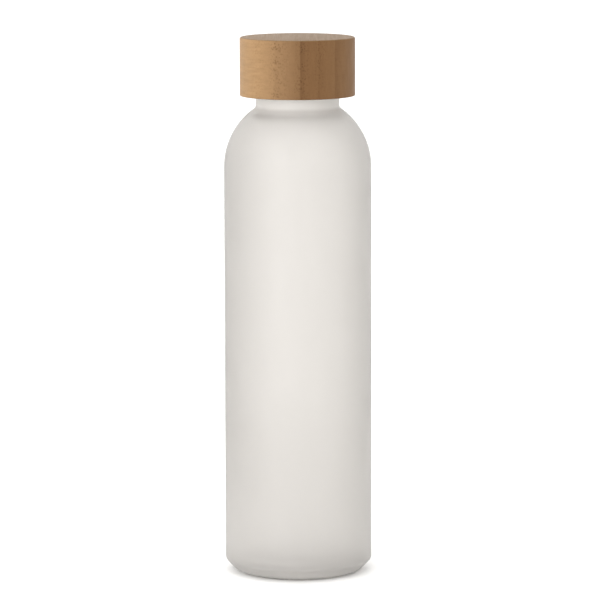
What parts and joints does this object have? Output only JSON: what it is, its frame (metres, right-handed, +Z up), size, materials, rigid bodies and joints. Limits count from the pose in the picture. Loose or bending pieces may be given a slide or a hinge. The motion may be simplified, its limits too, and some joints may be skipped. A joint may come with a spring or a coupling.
{
  "type": "glass water bottle",
  "caption": "Round frosted glass water bottle with a long curved shoulder and a turned bamboo screw cap, which has a threaded liner and a sealing ring inside.",
  "frame": {"origin": "centre of the bottle's base, on the surface that it stands on", "axes": "+Z up along the bottle's axis; +X and +Y are alike, because the body is round"},
  "size_m": [0.063, 0.063, 0.2305],
  "materials": {
    "frosted_glass": "acid-etched, satin outside",
    "bamboo": "sanded laminated bamboo with a thin satin lacquer",
    "liner_plastic": "moulded polypropylene",
    "silicone": "soft matte silicone"
  },
  "bodies": {
    "bottle": {"glass_bottle": "frosted_glass"},
    "seal": {"sealing_gasket": "silicone"},
    "cap": {"bamboo_cap": "bamboo", "cap_liner": "liner_plastic"}
  },
  "joints": [
    {"name": "cap_lift", "type": "slide", "parent": "bottle", "child": "seal", "axis": [0, 0, 1], "range_m": [0, 0.02117]},
    {"name": "cap_turn", "type": "hinge", "parent": "seal", "child": "cap", "pos_m": [0, 0, 0.2055], "axis": [0, 0, 1], "range_deg": [0, 1800]}
  ],
  "couplings": [
    {"joint": "cap_lift", "follows": "cap_turn", "m_per_rad": 0.00067376}
  ]
}
